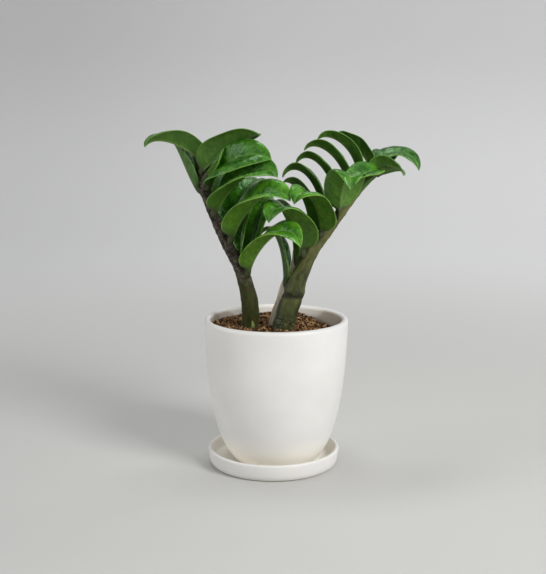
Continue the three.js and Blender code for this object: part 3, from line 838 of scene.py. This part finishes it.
def waxy_leaf():
    """Deep green wax above and matt olive below, with pale ribs, a brown stalk and a pale rim that
    is partly the margin's own colour and partly painted edge highlight and glow.
    """
    leaf = Finish("waxy_leaf")
    along, across, face = leaf.parts_of(leaf.stored("blade"))
    sideways, lengthways, edge = leaf.parts_of(leaf.stored("spot"))
    youth = leaf.stored_value("youth")
    flat = leaf.node("CombineXYZ", {0: sideways, 1: lengthways, 2: face}).outputs[0]
    wide = leaf.sum("ABSOLUTE", across)
    from_rib = leaf.sum("ABSOLUTE", sideways)
    broad = leaf.clouds(flat, 0.09, 2.0)
    patchy = leaf.clouds(flat, 0.3, 4.0, 0.7)
    fine = leaf.clouds(flat, 0.9, 4.0, 0.65)

    slant = leaf.sum("MULTIPLY_ADD", wide, -6.5, leaf.sum("MULTIPLY", along, 42.0))
    wander = leaf.sum("MULTIPLY_ADD", leaf.clouds(flat, 0.25), 3.0, slant)
    vein = leaf.step(leaf.sum("SINE", wander), 0.55, 1.0)

    dark = leaf.blend(youth, *UPPER_DARK)
    light = leaf.blend(youth, *UPPER_LIGHT)
    upper = leaf.blend(leaf.step(broad, 0.35, 0.68), dark, light)
    upper = leaf.blend(leaf.step(patchy, 0.5, 0.66, 0.0, 0.7), upper, light)
    upper = leaf.blend(leaf.step(patchy, 0.36, 0.48, 0.75, 0.0), upper, dark)
    upper = leaf.blend(leaf.sum("MULTIPLY", vein, 0.22), upper, light)
    crease = leaf.step(from_rib, 0.25, 1.0, 0.7, 0.0)
    upper = leaf.blend(crease, upper, CREASE_PALE)

    matt = leaf.blend(youth, *UNDER_MATT)
    deep = leaf.blend(youth, *UNDER_DEEP)
    lower = leaf.blend(leaf.step(broad, 0.3, 0.7), deep, matt)
    lower = leaf.blend(leaf.step(patchy, 0.4, 0.58, 0.85, 0.0), lower, deep)
    lower = leaf.blend(leaf.step(fine, 0.5, 0.7, 0.0, 0.35), lower, matt)
    lower = leaf.blend(leaf.sum("MULTIPLY", vein, 0.12), lower, matt)
    rib = leaf.step(from_rib, 0.5, 1.5, 0.55, 0.0)
    lower = leaf.blend(rib, lower, RIB_PALE)

    colour = leaf.blend(leaf.step(face, 0.3, 0.7), lower, upper)
    # the pale rim: partly the margin's own colour, partly painted edge highlight and glow
    pale = leaf.blend(youth, *RIM_PALE_AND_GLOW)
    rim = leaf.step(edge, 0.1, 0.6, 0.8, 0.0)
    pale_rim_and_glow = leaf.sum("MULTIPLY", leaf.step(broad, 0.3, 0.65, 0.35, 1.0), rim)
    colour = leaf.blend(pale_rim_and_glow, colour, pale)
    stalk = leaf.step(along, 0.02, 0.15, 0.95, 0.0)
    colour = leaf.blend(stalk, colour, STALK_BROWN)

    shine = leaf.step(fine, 0.3, 0.75, 0.06, 0.2)
    dull = leaf.step(fine, 0.3, 0.75, 0.5, 0.62)
    gloss = leaf.node("Mix", {0: face, 2: dull, 3: shine}).outputs[0]
    pores = leaf.relief(leaf.clouds(flat, 3.2, 2.0), 0.00005)
    quilt = leaf.relief(patchy, 0.0006, leaf.relief(vein, 0.00015, pores))
    return leaf.coat(colour, gloss, quilt, specular_ior_level=0.72, specular_tint=WAX_SHEEN)


leaf_finish = waxy_leaf()
for number, leaf in enumerate(LEFT_LEAFLETS, 1):
    blade = leaflet(f"left_leaflet_{number:02d}", leaf, LEFT_STEM, number, leaf_finish)
    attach(blade, "root")
    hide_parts("frond_left")


# ---- Right stem ----
# The thicker stem of the younger frond: smooth olive green skin with dark mottling, one swollen
# joint above the mix with a dark band that is partly the joint's own colour and partly painted
# shadow of the swelling, and pale dry flecks round its foot.

RIGHT_STEM = (
    (6, -14, 96, 9.2), (6, -14, 120, 9.2), (8, -14, 127, 9.0), (10, -14, 136, 8.8),
    (14, -13, 146, 8.6), (16.6, -13, 155, 7.6), (20.8, -12, 166, 6.7), (27.4, -11, 180, 6.0),
    (33.5, -9, 189, 5.5), (43, -8, 201, 4.7), (52, -6, 213, 4.3), (63.5, -4, 228, 3.7),
    (72, -2, 237.5, 3.4), (80, -1, 244.5, 2.9), (89, -1, 249.5, 2.4), (97, -1, 251.5, 1.8),
)
RIGHT_SCARS = (
    (127.5, 0.3, 1.0), (146.4, -0.6, 1.3), (150.5, 0.7, 2.6), (181, 0.3, 1.1), (189, 0.25, 0.8),
    (197, 0.3, 0.9), (206, 0.25, 0.7), (214, 0.3, 0.8), (222, 0.2, 0.7), (230, 0.25, 0.7),
)
RIGHT_FURROWS = 0.3
STEM_GREENS = ((0.014, 0.020, 0.004, 1), (0.060, 0.068, 0.014, 1), (0.125, 0.132, 0.034, 1))
STEM_GREYS = ((0.066, 0.066, 0.016, 1), (0.175, 0.165, 0.052, 1))
TOP_GREENS = ((0.024, 0.072, 0.004, 1), (0.075, 0.150, 0.018, 1))
SHADED_GREEN = (0.02, 0.026, 0.008, 1)
STREAK_GREEN = (0.035, 0.055, 0.014, 1)
JOINT_DARK_AND_SHADOW = (0.012, 0.014, 0.006, 1)
FOOT_FLECKS = (0.30, 0.29, 0.23, 1)
GREY_HEIGHTS = (0.16, 0.215)  # the skin turns greyer between these, and leafy between the next
TOP_HEIGHTS = (0.222, 0.234)
SHADED_HEIGHTS = (0.13, 0.148)
JOINT_HEIGHTS = (0.1465, 0.1495, 0.154)  # where its dark band, partly painted shadow, starts, is darkest and ends
FLECKED_HEIGHTS = (0.121, 0.131)


def right_skin():
    """Smooth olive skin, mottled darker, with a dark band at the joint that is partly painted
    shadow, and a dry, flecked foot.
    """
    bark = Finish("right_stem_skin")
    skin, z = bark.stored("skin"), bark.parts_of(bark.place())[2]
    mottle = bark.clouds(bark.stretch(skin, (1, 1, 0.4)), 260.0, 5.0, 0.6)
    streaks = bark.clouds(bark.stretch(skin, (1, 1, 0.12)), 480.0, 3.0)
    green = bark.ramp(mottle, zip((0.32, 0.52, 0.75), STEM_GREENS))
    grey = bark.ramp(mottle, zip((0.3, 0.7), STEM_GREYS))
    leafy = bark.ramp(mottle, zip((0.3, 0.7), TOP_GREENS))
    colour = bark.blend(bark.step(z, *GREY_HEIGHTS), green, grey)
    colour = bark.blend(bark.step(z, *TOP_HEIGHTS), colour, leafy)
    colour = bark.blend(bark.step(z, *SHADED_HEIGHTS, 0.45, 0.0), colour, SHADED_GREEN)
    colour = bark.blend(bark.step(streaks, 0.5, 0.7, 0.0, 0.45), colour, STREAK_GREEN)
    # the dark band at the joint: partly its own colour, partly painted shadow of the swelling
    uneven = bark.sum("MULTIPLY_ADD", mottle, 0.005, z)
    rise = bark.step(uneven, *JOINT_HEIGHTS[:2])
    fall = bark.step(uneven, *JOINT_HEIGHTS[1:], 1.0, 0.0)
    joint_dark_and_shadow = bark.sum("MULTIPLY", bark.sum("MULTIPLY", rise, fall), 0.9)
    colour = bark.blend(joint_dark_and_shadow, colour, JOINT_DARK_AND_SHADOW)
    flecks = bark.step(bark.clouds(skin, 900.0, 2.0), 0.56, 0.66)
    foot = bark.step(z, *FLECKED_HEIGHTS, 0.85, 0.0)
    colour = bark.blend(bark.sum("MULTIPLY", flecks, foot), colour, FOOT_FLECKS)
    relief = bark.relief(mottle, 0.0003, bark.relief(streaks, 0.0003))
    return bark.coat(colour, bark.step(mottle, 0.3, 0.7, 0.38, 0.55), relief, specular_ior_level=0.3)


right_stem = stem_piece("right_stem", RIGHT_STEM, RIGHT_SCARS, RIGHT_FURROWS, right_skin())
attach(right_stem, "root")
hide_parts("frond_right")


# ---- Right leaflets ----
# The same thick blades. The front row arches forward in broad hoods, and the row behind curls
# to the left in narrow claws.

RIGHT_LEAFLETS = (
    # the row that arches forward, from the lowest up
    ((23, -18, 184), (1, -6, 23), (-25, -28, 54), (-29, -30, 27), 38, (15, 20), (0, -12), 0.5),
    ((38, -14, 198), (1, -4, 19), (-17, -24, 50), (-24, -28, 27), 37, (5, 20), (0, -12), 0.6),
    ((50, -11, 214), (4, -3, 27), (9, -24, 47), (8, -31, 22), 33, (8, 15), (0, 0), 0.5),
    ((86, -4, 248), (-8, -5, 0), (-22, -14, -3), (-33, -21, -8), 28, (25, 24), (-16, -20), 0.5),
    ((75, 3, 247), (7, -1, 4), (26, -2, 9), (27, -27, -1), 20, (15, 18), (0, 22), 0.25),
    ((77, 8, 251), (9, 3, 12), (36, 4, 18), (40, -6, -3), 25, (12, 10), (36, 45), 0.15),
    # the row of claws that arches to the left behind the stem
    ((10, -9, 155), (-1, 6, 21), (-10, 13, 58), (-24, 13, 39), 20, (28, 28), (0, 0), 0.2),
    ((19, -8, 173), (-3, 5, 21), (-8, 14, 56), (-21, 14, 47), 24, (28, 28), (0, 0), 0.1),
    ((30, -6, 188), (3, 8, 22), (-11, 16, 54), (-24, 14, 50), 28, (28, 32), (0, 0), 0.1),
    ((41, -4, 206), (-1, 8, 31), (-24, 15, 55), (-36, 13, 36), 23, (16, 36), (0, 0), 0.15),
    ((53, -2, 220), (-3, 7, 23), (-25, 14, 50), (-37, 12, 33), 22, (16, 36), (0, 0), 0.15),
    ((62, 0, 230), (-1, 7, 23), (-27, 14, 47), (-39, 11, 34), 23, (16, 36), (0, 0), 0.15),
    ((70, 2, 238), (1, 7, 23), (-23, 14, 44), (-36, 10, 35), 23, (16, 36), (0, 0), 0.2),
    ((80, 4, 248), (-2, 9, 10), (-23, 16, 29), (-31, 14, 28), 20, (26, 26), (0, 0), 0.15),
    ((85, 3, 247), (4, 11, 8), (11, 31, 19), (14, 43, 4), 26, (35, 20), (0, 0), 0.15),
)
RIGHT_DRAWS_FROM = 40  # clear of the left leaflets' numbers, so that no two leaflets share a draw

for number, leaf in enumerate(RIGHT_LEAFLETS, 1):
    name, draw_number = f"right_leaflet_{number:02d}", RIGHT_DRAWS_FROM + number
    blade = leaflet(name, leaf, RIGHT_STEM, draw_number, leaf_finish)
    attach(blade, "root")
    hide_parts("frond_right")


# ---- Dry sheath ----
# The papery sheath that wrapped the right frond's bud. It has dried to a thin tan strip, still
# joined to the stem's base, that stands at its left side, hollow in front and drawn to a point.

SHEATH = (  # the middle of the strip, with its width
    (-1.8, -8, 119, 9), (-0.5, -8, 126.6, 8.5), (1.3, -8, 133.3, 8), (4.0, -7.5, 141.7, 7),
    (5.5, -7, 148.4, 6.5), (6.8, -6.5, 153.4, 6), (9.5, -6, 160, 5.2), (12.6, -5, 166, 4.4),
    (14.7, -4, 173.4, 3.6), (15.2, -3, 180, 3), (15.2, -2, 185, 1.2),
)
SHEATH_BACK = (0.3, 0.95, 0)  # the way its outer face looks, away from the front
SHEATH_THICKNESS = 0.8
SHEATH_CURL = 0.7
SHEATH_COLUMNS = 10
SHEATH_STEPS = 5
# pale tans, partly painted light for the light that shines through the thin paper
PAPER_TANS_AND_GLOW = ((0.56, 0.44, 0.32, 1), (0.88, 0.77, 0.60, 1), (0.95, 0.89, 0.76, 1))
PAPER_STAIN = (0.16, 0.10, 0.07, 1)


def dry_sheath():
    """The strip as one closed body, crinkled lengthways."""
    line = along_rows(SHEATH, SHEATH_STEPS)
    tangents = unit(np.gradient(line[:, :3], axis=0))
    points = []
    for k, (x, y, z, width) in enumerate(line):
        centre = np.array((x, y, z))
        away = unit(SHEATH_BACK - tangents[k] * (SHEATH_BACK @ tangents[k]))
        side = np.cross(tangents[k], away)
        outer = []
        for column in range(-SHEATH_COLUMNS, SHEATH_COLUMNS + 1):
            share = column / SHEATH_COLUMNS
            angle = share * SHEATH_CURL
            crinkle = 0.18 * noise.noise((share * 4, z * 0.03, 5))
            crinkle += 0.1 * noise.noise((share * 9, z * 0.2, 2))
            outer.append(centre + side * (width / 2) * math.sin(angle) / math.sin(SHEATH_CURL)
                         + away * ((width / 2) * (math.cos(angle) - 1) + crinkle))
        inner = [p - away * SHEATH_THICKNESS * (0.55 + 0.2 * math.sin(7 * k)) for p in outer]
        points.extend([*outer, *inner[::-1]])
    count = 2 * (2 * SHEATH_COLUMNS + 1)
    return points, between_rings(len(line), count) + end_caps(len(line), count)


def dry_paper():
    """Dead leaf skin: dull tan with grey fibres that run up it. Its pale tans are partly painted
    light, for the light that shines through the thin paper.
    """
    paper = Finish("dry_paper")
    place = paper.place()
    fibres = paper.clouds(paper.stretch(place, (1, 1, 0.08)), 1500.0, 4.0, 0.7)
    stains = paper.clouds(place, 160.0, 3.0)
    colour = paper.ramp(fibres, zip((0.3, 0.5, 0.75), PAPER_TANS_AND_GLOW))
    colour = paper.blend(paper.step(stains, 0.55, 0.75, 0.0, 0.5), colour, PAPER_STAIN)
    return paper.coat(colour, 0.75, paper.relief(fibres, 0.0005), specular_ior_level=0.3)


sheath = mesh_piece("dry_sheath", *dry_sheath(), dry_paper())
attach(sheath, "root")
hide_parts("frond_right")


# ---- Foot scale ----
# A small fleshy scale leaf that hugs the front of the left stem where it leaves the mix. It is
# the last of the leaves that wrapped the bud, yellow green with a tip that has dried brown.

SCALE_HEIGHTS = (116.5, 126.0)  # of its foot and of its tip
SCALE_HALF_ANGLE = 0.25
SCALE_HEADING = -1.32  # the way it faces, about the stem
SCALE_THICKNESS = 1.3
SCALE_SINK = 0.3
SCALE_PROUD = 0.25
SCALE_ROWS = 12
SCALE_HALF_COLUMNS = 6
SCALE_GREENS = ((0.08, 0.11, 0.02, 1), (0.30, 0.32, 0.10, 1))
SCALE_TIP = (0.12, 0.07, 0.03, 1)
SCALE_TIP_HEIGHTS = (0.123, 0.126)


def foot_scale():
    """A pointed shield that bulges off the stem's skin."""
    x0, y0, radius = STEM_FEET[0]
    columns, points, faces = SCALE_HALF_COLUMNS, [], []
    for face in (1.0, 0.0):
        for row in range(SCALE_ROWS + 1):
            share = row / SCALE_ROWS
            spread = SCALE_HALF_ANGLE * math.sqrt(max(1 - share ** 1.8, 0.003))
            z = SCALE_HEIGHTS[0] + (SCALE_HEIGHTS[1] - SCALE_HEIGHTS[0]) * share
            for column in range(-columns, columns + 1):
                out = column / columns
                thick = SCALE_THICKNESS * math.sqrt(max(1 - out * out, 0)) * (1 - 0.75 * share)
                angle = SCALE_HEADING + out * spread + 0.12 * math.sin(3 * share)
                wide = radius - SCALE_SINK + face * (SCALE_PROUD + thick)
                points.append((x0 + wide * math.cos(angle), y0 + wide * math.sin(angle), z))
    across = 2 * columns + 1
    back = len(points) // 2
    for row in range(SCALE_ROWS):
        for k in range(across - 1):
            p = row * across + k
            faces.append([p, p + 1, p + 1 + across, p + across])
            faces.append([back + p, back + p + across, back + p + 1 + across, back + p + 1])
        for k, flip in ((0, 1), (across - 1, -1)):
            p = row * across + k
            faces.append([p, p + across, back + p + across, back + p][::flip])
    for row, flip in ((0, -1), (SCALE_ROWS, 1)):
        for k in range(across - 1):
            p = row * across + k
            faces.append([p, p + 1, back + p + 1, back + p][::flip])
    return points, faces


def young_scale():
    """Fresh yellow green flesh with a dry brown tip."""
    flesh = Finish("young_scale")
    place = flesh.place()
    patches = flesh.clouds(flesh.stretch(place, (1, 1, 0.4)), 700.0)
    colour = flesh.ramp(patches, zip((0.35, 0.7), SCALE_GREENS))
    tip = flesh.step(flesh.parts_of(place)[2], *SCALE_TIP_HEIGHTS, 0.0, 0.7)
    colour = flesh.blend(tip, colour, SCALE_TIP)
    return flesh.coat(colour, 0.5, flesh.relief(patches, 0.0002))


scale = mesh_piece("foot_scale", *foot_scale(), young_scale(), 60)
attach(scale, "root")


# ---- Studio ----
# A pale paper floor that sweeps up into a round backdrop. The key light stands in front on the
# right, with a weak light overhead for the leaves' sheen, a broad one that fills from the left and
# one on the backdrop. The camera looks down from the front.

FLOOR_RADIUS = 2800.0
SWEEP_WIDTH = 1900.0
WALL_HEIGHT = 1700.0
FLOOR_COLOUR = (0.590, 0.586, 0.564, 1)
# painted light: the far floor and the wall are painted lighter than the floor round the pot
FAR_PAINTED_LIGHT = (0.85, 0.85, 0.85, 1)
WALL_PAINTED_LIGHT = (0.72, 0.72, 0.72, 1)
SHADE_COLOUR = (0.2, 0.2, 0.2, 1)
ROOM_LIGHT = 0.35
CAMERA_PLACE = (-0.0025, -0.9263, 0.3198)
CAMERA_PITCH = 10.322  # degrees below the horizon
LENS_PIXELS = 1133.8  # focal length on the 546 by 574 frame
FRAME_LONG_SIDE = 574
SENSOR = 36.0


def studio_paper():
    """Pale paper with painted light and shade: lighter far off and where it sweeps up, and a
    little darker on the left.
    """
    paper = Finish("studio_paper")
    place = paper.place()
    x, y, z = paper.parts_of(place)
    colour = paper.blend(paper.step(paper.from_axis(x, y), 0.3, 1.25), FLOOR_COLOUR, FAR_PAINTED_LIGHT)
    colour = paper.blend(paper.step(z, 0.05, 0.45), colour, WALL_PAINTED_LIGHT)
    # painted shade towards the left
    colour = paper.blend(paper.step(x, -0.62, 0.1, 0.17, 0.0), colour, SHADE_COLOUR)
    tooth = paper.relief(paper.clouds(place, 500.0), 0.00005)
    return paper.coat(colour, 0.9, tooth, specular_ior_level=0.2)


def studio_floor():
    """A flat disc whose edge sweeps up gently into a wall."""
    flat = FLOOR_RADIUS - SWEEP_WIDTH
    shares = np.linspace(0, 1, 32)
    sweep = [(flat + SWEEP_WIDTH * share, WALL_HEIGHT * share ** 3) for share in shares]
    return mesh_piece("studio_floor", *turned([(0, 0), *sweep], segments=96), studio_paper())


def soft_light(name, place, aim, size, power, colour=(1, 1, 1)):
    light = bpy.data.lights.new(name, "AREA")
    light.shape, (light.size, light.size_y) = "RECTANGLE", size
    light.energy, light.color = power, colour
    lamp = bpy.data.objects.new(name, light)
    lamp.location = place
    lamp.rotation_euler = (Vector(aim) - Vector(place)).to_track_quat("-Z", "Y").to_euler()
    bpy.context.scene.collection.objects.link(lamp)


studio_floor()
soft_light("key_light", place=(1.02, -1.05, 1.07), aim=(0, 0, 0.12), size=(0.6, 0.6), power=20.0)
soft_light("top_light", place=(-0.1, 0.2, 1.3), aim=(0, 0, 0.15), size=(0.4, 0.3), power=3.6,
           colour=(0.95, 0.98, 1.0))
soft_light("fill_light", place=(-2.15, -0.42, 0.84), aim=(0, 0, 0.1), size=(1.4, 0.6), power=12.5)
soft_light("backdrop_light", place=(0.9, 0.9, 1.6), aim=(0.6, 2.4, 0.3), size=(1.0, 0.6), power=6.0)

world = bpy.data.worlds.new("studio_air")
world.use_nodes = True
room = world.node_tree.nodes["Background"]
room.inputs["Color"].default_value = (1, 1, 1, 1)
room.inputs["Strength"].default_value = ROOM_LIGHT
bpy.context.scene.world = world
bpy.context.scene.view_settings.view_transform = "Standard"

camera_data = bpy.data.cameras.new("camera")
camera_data.sensor_width = SENSOR
camera_data.lens = LENS_PIXELS / FRAME_LONG_SIDE * SENSOR
camera_data.clip_start, camera_data.clip_end = 0.05, 20.0
camera = bpy.data.objects.new("camera", camera_data)
camera.location = CAMERA_PLACE
camera.rotation_euler = (math.radians(90 - CAMERA_PITCH), 0, 0)
bpy.context.scene.collection.objects.link(camera)
bpy.context.scene.camera = camera
